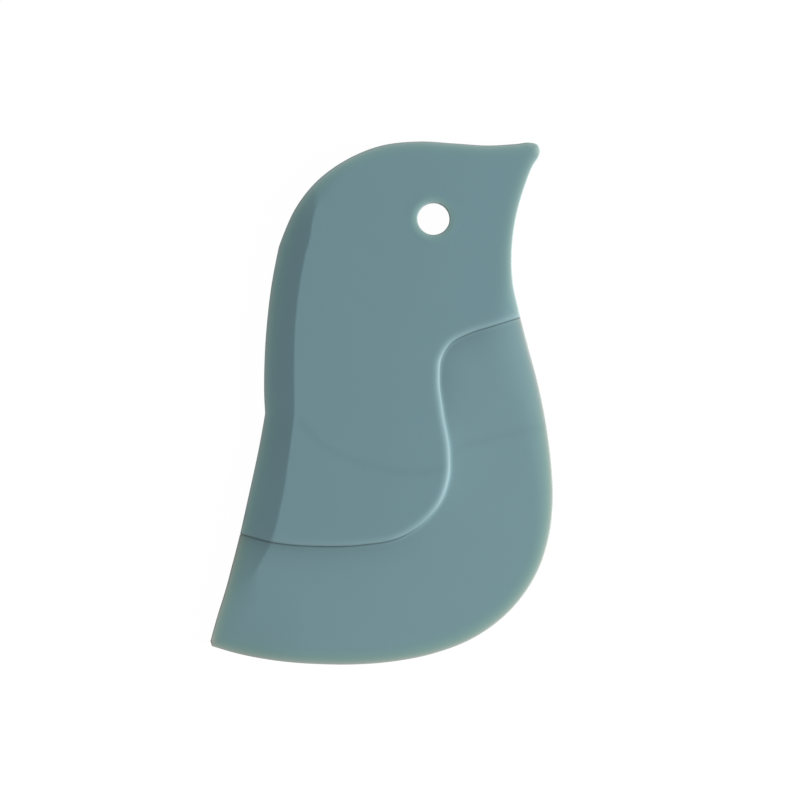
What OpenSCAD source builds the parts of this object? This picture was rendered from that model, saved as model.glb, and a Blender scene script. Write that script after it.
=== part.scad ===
// Bowl scraper in the outline of a small bird: a stiff core plate inside two soft mouldings.
// It lies flat on its rear face. X runs across, Y from the tail up to the head, Z through the thickness.

/* [Overall size] */
// Length from the tail corner to the crown of the head
body_l = 130; // [110:1:150]
// Width from the tail corner to the belly
body_w = 85.2; // [72:0.2:98]
// Thickness over the flat faces of the grip
body_t = 6; // [5:0.1:9]

/* [Grip] */
// How far the slope round the head and the throat falls, from the face to the rounded edge
head_drop = 0.2; // [0.1:0.05:0.4]
// Thickness at the back edge, at the foot of the bevel
back_edge_t = 2.4; // [2:0.1:3.2]
// Width of the slope that rounds the head and the throat
head_edge_w = 1; // [0.8:0.05:1.3]
// Width of the bevel along the back
bevel_w = 7.2; // [5:0.1:8]
// Rounding at the foot of the slopes
edge_r = 0.5; // [0.3:0.05:0.7]

/* [Blade] */
// How far each face of the blade lies below the faces of the grip
step_h = 0.8; // [0.5:0.05:1.1]
// Width of the slope from the grip's face down to the blade
step_w = 1.2; // [0.8:0.05:1.6]
// Width of the taper from the blade's flat face to the scraping lip, along the belly
taper_w = 6; // [4:0.1:7]
// How far each face falls over that taper, from the flat face to the rounded lip
taper_drop = 0.5; // [0.3:0.05:0.6]
// Width of the rounding at the very rim of the lip
lip_w = 0.5; // [0.3:0.05:0.6]
// Thickness of the blade at the edge of the wing
wing_edge_t = 1.8; // [1.4:0.1:2.2]
// Thickness of the blade at the tail corner
tail_t = 2.8; // [2.2:0.1:3.6]
// Distance from the tail corner at which the blade has its full thickness
tail_l = 18; // [10:1:24]

/* [Tongue] */
// Reach of the blade's tongue into the grip
tongue_l = 5; // [3:0.5:7]
// Thickness of the tongue
tongue_t = 1.6; // [1.2:0.1:2]
// Least distance from the tongue to the outline
tongue_margin = 4; // [3.5:0.5:6]
// Soft material left between the tongue and the core plate
tongue_gap = 2; // [1:0.5:4]

/* [Core plate] */
// Thickness of the core plate
core_t = 2; // [1.4:0.1:2.2]
// Distance from the outline to the core plate
core_margin = 6; // [5.5:0.5:9]
// Rounding of the core plate's corners
core_corner_r = 2; // [1:0.5:4]
// Diameter of the holes where the soft material grips the plate
key_d = 5; // [3:0.5:7]

/* [Hang hole] */
// Diameter of the hang hole
hole_d = 8; // [6:0.5:10]
// Chamfer at both mouths of the hang hole
hole_chamfer = 0.5; // [0.2:0.1:0.8]
// Soft material between the hang hole and the core plate
hole_wall = 3; // [2:0.5:5]

/* [Hidden] */
span_steps = 4;
hole_facets = 96;
corner_facets = 32;
over = 1;
rim_land = 0.2;
bow_at = [0.28, 0.6];
top = body_t / 2;
blade_top = top - step_h;
teal = [0.43, 0.56, 0.59];
blade_teal = [0.45, 0.58, 0.61];
core_grey = [0.72, 0.73, 0.7];

// Knots of the outline on the drawing, in millimetres from its middle, anticlockwise from the beak.
// The third number is the share of the grip's full bevel there, the fourth that of the blade's taper.
// The outline has a corner at each of these three and at the tail
beak_knot = [39.4, 62.7, 0, 0];
shoulder_knot = [-25.5, 38.9, 0.92, 0.8];
waist_knot = [-28.9, -2.5, 0.98, 1.2];
head_knots = [
    beak_knot, [38.7, 64.2, 0, 0], [37, 64.7, 0, 0], [33.6, 64.4, 0, 0],
    [26.7, 64, 0, 0], [18.3, 64.5, 0, 0], [9.3, 65, 0, 0], [-0.3, 63.9, 0, 0],
    [-9, 60.3, 0.2, 0], [-16.2, 55, 0.6, 0], [-21.6, 48, 0.82, 0.3],
    [-24.1, 42.6, 0.9, 0.6], shoulder_knot
];
back_knots = [
    shoulder_knot, [-27.3, 29.5, 0.93, 1], [-28.4, 20.5, 0.95, 1.2],
    [-29.1, 9.2, 1, 1.2], [-29.1, 0.7, 1.01, 1.2], waist_knot
];
wing_knots = [
    waist_knot, [-30.1, -9.3, 1.05, 1.3], [-33.3, -24.3, 1.17, 1.4],
    [-35.3, -33.2, 1.18, 1.42], [-38.4, -45.2, 0.75, 0.94], [-41.1, -54.1, 0.4, 0.5],
    [-42.5, -59.2, 0, 0]
];
belly_knots = [
    [-42.1, -60.4, 0, 0], [-36, -62.2, 0, 0.5], [-25.6, -64.1, 0, 0.76], [-15.1, -64.9, 0, 0.86],
    [-8.1, -65, 0, 0.9], [2.3, -64.3, 0, 0.9], [12.7, -62.3, 0, 0.9], [23.2, -58.2, 0, 0.9],
    [32.4, -51.1, 0, 0.9], [38.6, -42.2, 0, 0.9], [41.6, -33.2, 0, 0.9], [42.6, -24.3, 0, 0.95],
    [42.2, -15.3, 0, 1], [41.1, -6.4, 0, 1.2], [38.7, 5.6, 0, 1.64], [36.3, 14.5, 0, 1.9],
    [34, 23.5, 0, 1.8], [32.7, 29.5, 0, 0.9], [32.4, 38, 0, 0.2], [33.7, 47.4, 0, 0],
    [35.4, 53.3, 0, 0], [37.8, 59.3, 0, 0], [39.2, 61.6, 0, 0], beak_knot
];
// Knots of the seam between grip and blade, from outside the back to outside the throat
seam_knots = [
    [-44, -30], [-34.9, -32.6], [-27.2, -34.6], [-15.7, -35.6], [-5.3, -35.3], [4.5, -33.2],
    [10.1, -29.6], [14.7, -24.1], [16.7, -18.3], [16.8, -12.4], [15.1, -1.8], [14.2, 6.2],
    [14.7, 11], [17, 14.8], [22.1, 17.6], [27, 19], [34.3, 21.2], [42, 23.5]
];
// Knots of the core plate's lower edge, from outside the back to outside the belly
core_knots = [
    [-40, 6], [-22, -2], [-15.2, -9.2], [-2.8, -14.2], [10, -16.5], [19, -13.5],
    [27, -9], [35.3, -6.7], [48, -5.5]
];
// Centre of the hang hole, which is the bird's eye, and of the plate's key holes
hole_knot = [12.9, 45.8];
key_knots = [[-12, 30], [4, 26], [20, 30], [-14, 12], [3, 6], [26, 6]];

// Points and sizes on the drawing
function last(v) = v[len(v) - 1];
function step_of(k, i) = norm([k[i + 1][0] - k[i][0], k[i + 1][1] - k[i][1]]);
function slope_of(k, i) = (k[i + 1] - k[i]) / step_of(k, i);
// Direction of the curve at a knot: its two neighbouring chords, each weighted by the other's length
function inner_tangent(k, i) =
    (slope_of(k, i - 1) * step_of(k, i) + slope_of(k, i) * step_of(k, i - 1))
    / (step_of(k, i) + step_of(k, i - 1));
function tangent(k, i) =
    i == 0 ? 1.5 * slope_of(k, 0) - 0.5 * inner_tangent(k, 1)
    : i == len(k) - 1 ? 1.5 * slope_of(k, i - 1) - 0.5 * inner_tangent(k, i - 1)
    : inner_tangent(k, i);
// A point at the share t of the span that starts at knot i
function on_span(k, i, t) =
    (2 * pow(t, 3) - 3 * pow(t, 2) + 1) * k[i]
    + (pow(t, 3) - 2 * pow(t, 2) + t) * step_of(k, i) * tangent(k, i)
    + (3 * pow(t, 2) - 2 * pow(t, 3)) * k[i + 1]
    + (pow(t, 3) - pow(t, 2)) * step_of(k, i) * tangent(k, i + 1);
// A smooth curve through all knots but for its last point
function curve(k) = [
    for (i = [0:len(k) - 2])
        for (j = [0:span_steps - 1])
            on_span(k, i, j / span_steps)
];

drawn = concat(
    curve(head_knots), curve(back_knots), curve(wing_knots), [last(wing_knots)], curve(belly_knots)
);
drawn_low = [min([for (p = drawn) p[0]]), min([for (p = drawn) p[1]])];
drawn_high = [max([for (p = drawn) p[0]]), max([for (p = drawn) p[1]])];
drawn_mid = (drawn_low + drawn_high) / 2;
stretch_x = body_w / (drawn_high[0] - drawn_low[0]);
stretch_y = body_l / (drawn_high[1] - drawn_low[1]);
// From the drawing to the part
function place(p) = [(p[0] - drawn_mid[0]) * stretch_x, (p[1] - drawn_mid[1]) * stretch_y];

outline = [for (p = drawn) place(p)];
count = len(outline);
tail = outline[(count - 1) / 2];
bevel_share = [for (p = drawn) p[2]];
taper_share = [for (p = drawn) p[3]];
seam = [for (p = concat(curve(seam_knots), [last(seam_knots)])) place(p)];
core_edge = [for (p = concat(curve(core_knots), [last(core_knots)])) place(p)];

// The direction square to the way from a to b, on its left, which is inwards on the outline
function left_of(a, b) = [a[1] - b[1], b[0] - a[0]] / norm(b - a);
inward = [for (i = [0:count - 1]) left_of(outline[(i + count - 1) % count], outline[(i + 1) % count])];

function clamped(v) = max(0, min(1, v));
function mixed(a, b, share) = a + (b - a) * share;
// Inset and half thickness of the points round a rim of half thickness e
function rim(r, e) = [[0, e - r], [0.3 * r, e - 0.3 * r], [r, e]];
// Half thickness at the foot of the bevel, which falls from a face by the square of its share
function bevel_foot(i, face, foot) = mixed(face, foot, pow(clamped(bevel_share[i]), 2));
// Inset and half thickness of the points from the rim up to the flat face. The bevel is straight, on the
// grip and on the blade's wing, and the taper along the belly bows outwards.
function grip_profile(i) =
    concat(
        rim(edge_r, bevel_foot(i, top - head_drop, back_edge_t / 2)),
        [[mixed(head_edge_w, bevel_w, bevel_share[i]), top]]
    );
function blade_profile(i) =
    let (
        w = mixed(lip_w + rim_land, taper_w, taper_share[i]),
        h = mixed(tail_t / 2, blade_top, clamped(norm(outline[i] - tail) / tail_l)),
        e = min(h - taper_drop * taper_share[i], bevel_foot(i, h, wing_edge_t / 2)),
        rise = mixed(bow_at[1], bow_at[0], clamped(bevel_share[i]))
    )
        concat(rim(lip_w, e), [[mixed(lip_w, w, bow_at[0]), mixed(e, h, rise)], [w, h]]);

// A closed form that is the same on both faces. Each point of the outline has its profile.
// The faces are strips between the points on the left and right of the beak.
module form(profiles) {
    levels = len(profiles[0]);
    rings = [
        for (side = [-1, 1])
            for (k = [0:levels - 1])
                let (level = side < 0 ? levels - 1 - k : k)
                    [for (i = [0:count - 1])
                        let (q = profiles[i][level], p = outline[i] + inward[i] * q[0])
                            [p[0], p[1], top + side * q[1]]]
    ];
    high = (len(rings) - 1) * count;
    bands = [
        for (k = [0:len(rings) - 2])
            for (i = [0:count - 1])
                let (a = k * count + i, b = k * count + (i + 1) % count)
                    each [[a, a + count, b + count], [a, b + count, b]]
    ];
    half = (count - 1) / 2;
    strips = [
        for (i = [1:half - 1])
            each [[i, i + 1, count - i - 1], [i, count - i - 1, count - i]]
    ];
    low_face = concat([[0, 1, count - 1]], strips);
    high_face = [for (f = low_face) [high + f[0], high + f[2], high + f[1]]];
    polyhedron([for (r = rings) each r], concat(bands, low_face, high_face), convexity = 6);
}

// Everything on the blade's side of the seam, seen from above
module blade_side() {
    polygon(concat(seam, [[body_w, last(seam)[1]], [body_w, -body_l], [-body_w, -body_l],
        [-body_w, seam[0][1]]]));
}

// The same through the whole thickness
module blade_block() {
    translate([0, 0, -over]) linear_extrude(body_t + 2 * over) blade_side();
}

// Everything above the core plate's lower edge, seen from above
module core_side() {
    polygon(concat(core_edge, [[body_w, last(core_edge)[1]], [body_w, body_l], [-body_w, body_l],
        [-body_w, core_edge[0][1]]]));
}

module core_shape() {
    offset(r = core_corner_r, $fn = corner_facets) offset(delta = -core_corner_r)
        intersection() {
            offset(delta = -core_margin) polygon(outline);
            core_side();
        }
}

module tongue_shape() {
    difference() {
        intersection() {
            offset(delta = -tongue_margin) polygon(outline);
            offset(delta = tongue_l) blade_side();
        }
        offset(delta = tongue_gap) core_side();
    }
}

// A plate of the given thickness in the middle of the part
module middle_plate(thickness) {
    translate([0, 0, top - thickness / 2]) linear_extrude(thickness) children();
}

// An upright cylinder through the whole part at a place of the drawing
module upright(knot, d) {
    translate(concat(place(knot), -over)) cylinder(d = d, h = body_t + 2 * over, $fn = hole_facets);
}

// The chamfer at the hang hole's upper mouth
module hole_mouth() {
    depth = hole_chamfer + over;
    translate(concat(place(hole_knot), body_t - hole_chamfer))
        cylinder(d1 = hole_d, d2 = hole_d + 2 * depth, h = depth, $fn = hole_facets);
}

// The cut along the seam in the upper face, whose floor slopes from the grip's face to the blade's
module step_cutter() {
    steep = step_h / step_w;
    section = [[-over, -step_h - over * steep], [step_w + over, over * steep], [-over, over * steep]];
    n = len(seam);
    side = [
        for (i = [0:n - 1]) left_of(seam[max(i - 1, 0)], seam[min(i + 1, n - 1)])
    ];
    points = [
        for (i = [0:n - 1])
            for (q = section)
                let (p = seam[i] + side[i] * q[0])
                    [p[0], p[1], body_t + q[1]]
    ];
    walls = [
        for (i = [0:n - 2])
            for (j = [0:2])
                let (a = 3 * i + j, b = 3 * i + (j + 1) % 3)
                    each [[a, b + 3, b], [a, a + 3, b + 3]]
    ];
    polyhedron(points, concat([[0, 1, 2]], walls, [[3 * n - 1, 3 * n - 2, 3 * n - 3]]), convexity = 6);
}

// The same cut on the upper face and on the rear face
module on_both_faces() {
    children();
    translate([0, 0, body_t]) mirror([0, 0, 1]) children();
}

module core_plate() {
    color(core_grey)
    difference() {
        middle_plate(core_t) core_shape();
        upright(hole_knot, hole_d + 2 * hole_wall);
        for (k = key_knots) upright(k, key_d);
    }
}

module grip_body() {
    color(teal)
    difference() {
        form([for (i = [0:count - 1]) grip_profile(i)]);
        blade_block();
        on_both_faces() step_cutter();
        upright(hole_knot, hole_d);
        on_both_faces() hole_mouth();
        middle_plate(tongue_t) tongue_shape();
        core_plate();
    }
}

module belly_blade() {
    color(blade_teal)
    difference() {
        union() {
            intersection() {
                form([for (i = [0:count - 1]) blade_profile(i)]);
                blade_block();
            }
            middle_plate(tongue_t) tongue_shape();
        }
        core_plate();
    }
}

core_plate();
grip_body();
belly_blade();
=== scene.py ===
"""Looks of a bowl scraper in the outline of a small bird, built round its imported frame.

The scraper lies flat on its rear face. Lengths are millimetres in the part's own frame, with X across,
Y from the tail up to the head and Z through the thickness. They become metres where a mesh, a light
or the camera is made.
"""

import logging
import math
from dataclasses import dataclass
from enum import Enum
from typing import Any, NamedTuple

import bmesh
import bpy
import numpy as np
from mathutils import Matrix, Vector
from numpy.typing import NDArray


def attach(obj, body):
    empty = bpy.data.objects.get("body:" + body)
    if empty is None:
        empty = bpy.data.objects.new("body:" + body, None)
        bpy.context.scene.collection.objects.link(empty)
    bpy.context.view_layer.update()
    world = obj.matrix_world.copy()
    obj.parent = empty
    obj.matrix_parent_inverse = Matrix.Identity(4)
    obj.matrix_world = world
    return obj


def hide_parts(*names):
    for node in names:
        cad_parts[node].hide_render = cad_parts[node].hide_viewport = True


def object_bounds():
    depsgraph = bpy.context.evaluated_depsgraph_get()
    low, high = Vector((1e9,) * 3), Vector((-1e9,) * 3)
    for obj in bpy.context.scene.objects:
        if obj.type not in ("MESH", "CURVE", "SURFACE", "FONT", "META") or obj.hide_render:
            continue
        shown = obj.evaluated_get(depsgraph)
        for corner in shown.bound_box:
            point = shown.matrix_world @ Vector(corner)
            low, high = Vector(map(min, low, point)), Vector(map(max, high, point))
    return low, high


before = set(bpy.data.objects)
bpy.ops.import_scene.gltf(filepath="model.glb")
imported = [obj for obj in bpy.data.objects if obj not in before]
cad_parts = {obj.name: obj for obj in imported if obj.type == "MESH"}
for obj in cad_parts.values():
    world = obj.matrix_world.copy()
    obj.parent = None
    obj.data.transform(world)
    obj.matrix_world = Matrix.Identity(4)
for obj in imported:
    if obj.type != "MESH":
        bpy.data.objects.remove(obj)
cad_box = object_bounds()

Array = NDArray[np.float64]
Ids = NDArray[np.int64]
Block = tuple[slice, slice]
Knot = tuple[float, ...]
Knots = tuple[Knot, ...]
Colour = tuple[int, int, int]

METRE = 0.001
TINY = 1e-9
WHITE = (1.0, 1.0, 1.0, 1.0)
BODY = "root"
log = logging.getLogger("bowl_scraper")

# Columns of a table of points after X and Y: the height, and the first of the fields, which is the rim's.
HEIGHT = 2
RIM = 3

# Places of a Mix node's sockets for colours.
MIX_A = 6
MIX_B = 7
MIX_RESULT = 2


# Lines of the plan


def spline(knots: Knots, samples: int) -> Array:
    """A smooth line through knots.

    Each span is a cubic that leaves and meets its knots along their tangents. A knot's tangent is the
    mean of its two chords' slopes, each weighted by the other chord's length. At an end it is one and
    a half times the chord's slope less half the next knot's tangent.

    Args:
        knots: X, Y and any further numbers that the line carries.
        samples: Points made for each span.

    Returns:
        One row for each point, from the first knot to the last.
    """
    k = np.array(knots, float)
    chord = np.linalg.norm(np.diff(k[:, :2], axis=0), axis=1)[:, None]
    slope = np.diff(k, axis=0) / chord
    inner = (slope[:-1] * chord[1:] + slope[1:] * chord[:-1]) / (chord[:-1] + chord[1:])
    first = 1.5 * slope[:1] - 0.5 * inner[:1]
    last = 1.5 * slope[-1:] - 0.5 * inner[-1:]
    tangent = np.vstack([first, inner, last])
    leave = (chord * tangent[:-1])[:, None]
    meet = (chord * tangent[1:])[:, None]
    t = (np.arange(samples) / samples)[None, :, None]
    spans = (
        (2 * t**3 - 3 * t**2 + 1) * k[:-1, None]
        + (t**3 - 2 * t**2 + t) * leave
        + (3 * t**2 - 2 * t**3) * k[1:, None]
        + (t**3 - t**2) * meet
    )
    return np.vstack([spans.reshape(-1, k.shape[1]), k[-1:]])


class Nearest(NamedTuple):
    """What a line answers about its nearest place to each of many places.

    Attributes:
        distance: How far it is.
        foot: X and Y of the nearest place.
        carried: The numbers that the line carries there.
        side: 1 where the place asked about lies left of the line, and -1 right.
    """

    distance: Array
    foot: Array
    carried: Array
    side: Array


@dataclass(frozen=True)
class Line:
    """A line of the plan, as close points that each carry some numbers.

    Attributes:
        points: X and Y of the points, one row each.
        carried: The numbers carried at each point, such as a share of a width, one row for each point.
    """

    points: Array
    carried: Array

    @property
    def along(self) -> Array:
        """The distance from the start to each point, measured along the line."""
        steps = np.linalg.norm(np.diff(self.points, axis=0), axis=1)
        return np.concatenate([[0.0], np.cumsum(steps)])

    def at(self, share: Array) -> tuple[Array, Array, Array]:
        """Places at shares of the line's length.

        Args:
            share: From 0 at the start to 1 at the end.

        Returns:
            The points, the unit tangents and the carried numbers there.
        """
        along = self.along
        where = share * along[-1]
        slopes = np.gradient(self.points, along, axis=0)
        slopes /= np.linalg.norm(slopes, axis=1)[:, None]
        point = np.column_stack([np.interp(where, along, c) for c in self.points.T])
        tangent = np.column_stack([np.interp(where, along, c) for c in slopes.T])
        tangent /= np.linalg.norm(tangent, axis=1)[:, None]
        return point, tangent, np.column_stack([np.interp(where, along, c) for c in self.carried.T])

    def part(self, first: float, last: float) -> "Line":
        """The stretch of the line between two distances along it.

        Args:
            first: The distance from the line's start at which the stretch starts.
            last: The one at which it ends.

        Returns:
            The stretch, with a point at both its ends.
        """
        along = self.along
        inside = along[(along > first + TINY) & (along < last - TINY)]
        where = np.concatenate([[first], inside, [last]])
        point, _, carried = self.at(where / along[-1])
        return Line(point, carried)

    def carrying(self, number: float) -> "Line":
        """The same line, with one number carried all along."""
        return Line(self.points, np.full((len(self.points), 1), number))

    def then(self, other: "Line") -> "Line":
        """This line followed by another that starts where it ends."""
        points = np.vstack([self.points, other.points[1:]])
        return Line(points, np.vstack([self.carried, other.carried[1:]]))

    def crossing(self, other: "Line") -> tuple[float, float]:
        """Where two lines cross.

        Every segment of one line is set against every segment of the other. The pair whose shares of
        the way to their common point both lie between 0 and 1 is the crossing.

        Args:
            other: The other line.

        Returns:
            The distance along this line and that along the other.
        """
        start, run = self.points[:-1, None], np.diff(self.points, axis=0)[:, None]
        begin, go = other.points[None, :-1], np.diff(other.points, axis=0)[None]
        turn = run[..., 0] * go[..., 1] - run[..., 1] * go[..., 0]
        turn = np.where(np.abs(turn) < TINY, TINY, turn)
        gap = begin - start
        here = (gap[..., 0] * go[..., 1] - gap[..., 1] * go[..., 0]) / turn
        there = (gap[..., 0] * run[..., 1] - gap[..., 1] * run[..., 0]) / turn
        met = (here >= 0) & (here <= 1) & (there >= 0) & (there <= 1)
        i, j = np.argwhere(met)[0]
        a, b = self.along, other.along
        return (
            float(a[i] + here[i, j] * (a[i + 1] - a[i])),
            float(b[j] + there[i, j] * (b[j + 1] - b[j])),
        )

    def nearest(self, where: Array, block: int = 1500) -> Nearest:
        """The nearest place of the line to each of many places.

        A place is dropped square onto every segment, the foot is held between the segment's ends, and
        the shortest drop is taken.

        Args:
            where: X and Y of the places, one row each.
            block: Places worked out at a time, which only bounds the memory.

        Returns:
            An answer for each place.
        """
        start, run = self.points[:-1], np.diff(self.points, axis=0)
        square = (run**2).sum(1)
        found = []
        for places in np.array_split(where, len(where) // block + 1):
            gap = places[:, None] - start
            t = np.clip((gap * run).sum(2) / square, 0, 1)
            off = gap - t[..., None] * run
            best = (off**2).sum(2).argmin(1)
            row = np.arange(len(places))
            drop, share, way = off[row, best], t[row, best][:, None], run[best]
            carried = self.carried[best] * (1 - share) + self.carried[best + 1] * share
            turn = way[:, 0] * gap[row, best, 1] - way[:, 1] * gap[row, best, 0]
            distance = np.linalg.norm(drop, axis=1)
            found.append(Nearest(distance, places - drop, carried, np.sign(turn)))
        return Nearest(*(np.concatenate(column) for column in zip(*found)))


@dataclass(frozen=True)
class Plan:
    """The scraper seen from above.

    Attributes:
        back: From the tail up the wing, the back and the head to the beak, with shares of the bevel.
        belly: From the tail along the foot, the belly and the throat to the beak, with shares of the
            taper.
        seam: From the back to the throat, between grip and blade, with how much painted shade the blade
            gets beside it and how open the joint is.
        core: The core plate's lower edge, from the back to the belly.
        hole: The middle of the hang hole.
    """

    back: Line
    belly: Line
    seam: Line
    core: Line
    hole: Array


@dataclass(frozen=True)
class Drawing:
    """Knots of the scraper's lines, in millimetres from the middle of its drawing.

    The outline has a corner at the beak, the shoulder, the waist and the tail.

    Attributes:
        beak, head, shoulder, back, waist, wing, tail: The outline from the beak over the back to the
            tail, with shares of the full bevel.
        belly: The outline from the tail round the foot and the belly to the beak, with shares of the
            full taper.
        seam: The seam from past the back to past the throat, with how much painted shade the blade gets
            beside it, where less than 0 is painted light, and how open the joint is.
        core: The core plate's lower edge.
        hole: The middle of the hang hole.
        samples: Points made for each span between knots.
    """

    beak: Knot = (39.4, 62.7, 0)
    head: Knots = (
        (38.7, 64.2, 0), (37, 64.7, 0), (33.6, 64.4, 0), (26.7, 64, 0), (18.3, 64.5, 0), (9.3, 65, 0),
        (-0.3, 63.9, 0), (-9, 60.3, 0.14), (-16.2, 55, 0.3), (-21.6, 48, 0.67), (-24.1, 42.6, 0.88),
    )
    shoulder: Knot = (-25.5, 38.9, 0.92)
    back: Knots = ((-27.3, 29.5, 0.93), (-28.4, 20.5, 0.95), (-29.1, 9.2, 1), (-29.1, 0.7, 1.01))
    waist: Knot = (-28.9, -2.5, 0.98)
    wing: Knots = (
        (-30.1, -9.3, 1.03), (-33.3, -24.3, 1.15), (-35.3, -33.2, 1.06), (-36, -36, 0.94),
        (-37.2, -40.6, 0.76), (-38.4, -45.2, 0.6), (-41.1, -54.1, 0.32),
    )
    tail: Knot = (-42.5, -59.2, 0.15)
    belly: Knots = (
        (-42.1, -60.4, 0), (-36, -62.2, 0.5), (-25.6, -64.1, 0.76), (-15.1, -64.9, 0.86),
        (-8.1, -65, 0.85), (2.3, -64.3, 0.8), (12.7, -62.3, 0.75), (23.2, -58.2, 0.72),
        (32.4, -51.1, 0.58), (38.6, -42.2, 0.54), (41.6, -33.2, 0.64), (42.6, -24.3, 0.85),
        (42.2, -15.3, 1), (41.1, -6.4, 1.2), (38.7, 5.6, 1.64), (36.3, 14.5, 1.85), (34, 23.5, 1.6),
        (32.7, 29.5, 0.5), (32.4, 38, 0.15), (33.7, 47.4, 0), (35.4, 53.3, 0), (37.8, 59.3, 0),
        (39.2, 61.6, 0),
    )
    # The third number of each seam knot is the painted shade on the blade beside it, below 0 painted
    # light.
    seam: Knots = (
        (-44, -30, 0.16, 1), (-34.9, -32.6, 0.2, 1), (-27.2, -34.6, 0.24, 1), (-15.7, -35.6, 0.2, 1),
        (-5.3, -35.3, 0.16, 1), (4.6, -33.4, 0.1, 0.8), (10.3, -29.8, 0.02, 0.3),
        (14.85, -24.25, -0.05, 0), (16.75, -18.3, -0.13, 0), (16.9, -12.4, -0.16, 0),
        (15.25, -1.8, 0.06, 0), (14.4, 6.2, 0.18, 0), (14.85, 10.9, 0.16, 0.2), (17.1, 14.65, 0.2, 0.6),
        (22.2, 17.45, 0.2, 0.9), (27, 18.95, 0.14, 1), (34.3, 21.2, 0.06, 1), (42, 23.5, 0.06, 1),
    )
    core: Knots = (
        (-20, -4.6), (-15.2, -9.9), (-2.8, -15.4), (10, -17.2), (15.5, -16), (18.8, -11.6),
        (27, -9), (35.3, -6.9), (48, -4.5),
    )
    hole: Knot = (12.9, 45.8)
    samples: int = 12

    def plan(self, low: Array, high: Array) -> Plan:
        """The plan, moved and stretched so that its outline fills a box.

        Args:
            low: The box's lowest X and Y.
            high: Its highest.

        Returns:
            The plan in the part's own frame.
        """
        head = spline((self.beak, *self.head, self.shoulder), self.samples)
        back = spline((self.shoulder, *self.back, self.waist), self.samples)
        wing = spline((self.waist, *self.wing, self.tail), self.samples)
        upward = np.vstack([head, back[1:], wing[1:]])[::-1]
        belly = np.vstack([[self.tail], spline((*self.belly, self.beak), self.samples)])
        drawn = np.vstack([upward, belly])[:, :2]
        scale = (high - low) / (drawn.max(0) - drawn.min(0))

        def placed(points: Array) -> Array:
            """From the drawing to the part."""
            return low + (points[..., :2] - drawn.min(0)) * scale

        seam = spline(self.seam, self.samples)
        core = spline(self.core, self.samples)
        return Plan(
            back=Line(placed(upward), upward[:, 2:]),
            belly=Line(placed(belly), belly[:, 2:]),
            seam=Line(placed(seam), seam[:, 2:]),
            core=Line(placed(core), core[:, 2:]),
            hole=placed(np.array(self.hole)),
        )


# Relief


def mixed(a: Array | float, b: Array | float, share: Array | float) -> Array:
    """From a at share 0 to b at share 1, in a straight line."""
    return a + (b - a) * share


def softer_min(a: Array, b: Array | float, soft: Array | float) -> Array:
    """The lower of two heights, which a parabola joins where they differ by less than soft."""
    share = np.clip(0.5 + 0.5 * (b - a) / soft, 0, 1)
    return mixed(b, a, share) - soft * share * (1 - share)


def rounding(distance: Array, radius: Array | float) -> Array:
    """How far a rounded edge falls below the sharp one, as a quarter circle at its distance inwards."""
    short = radius - np.minimum(distance, radius)
    return radius - np.sqrt(np.maximum(radius**2 - short**2, 0))


class Ground(NamedTuple):
    """Places of the plan, with their nearest places on the plan's four lines.

    Attributes:
        where: X and Y of the places, one row each.
        back, belly, seam, core: What each line answers.
    """

    where: Array
    back: Nearest
    belly: Nearest
    seam: Nearest
    core: Nearest

    @property
    def rim(self) -> Array:
        """The distance to the outline."""
        return np.minimum(self.back.distance, self.belly.distance)


class Stretches(NamedTuple):
    """The outline and the seam, cut where they cross.

    Attributes:
        wing, back: The back's line below the seam, and above it.
        belly, throat: The belly's line below the seam, and above it.
        seam: The seam between both.
    """

    wing: Line
    back: Line
    belly: Line
    throat: Line
    seam: Line


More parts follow.
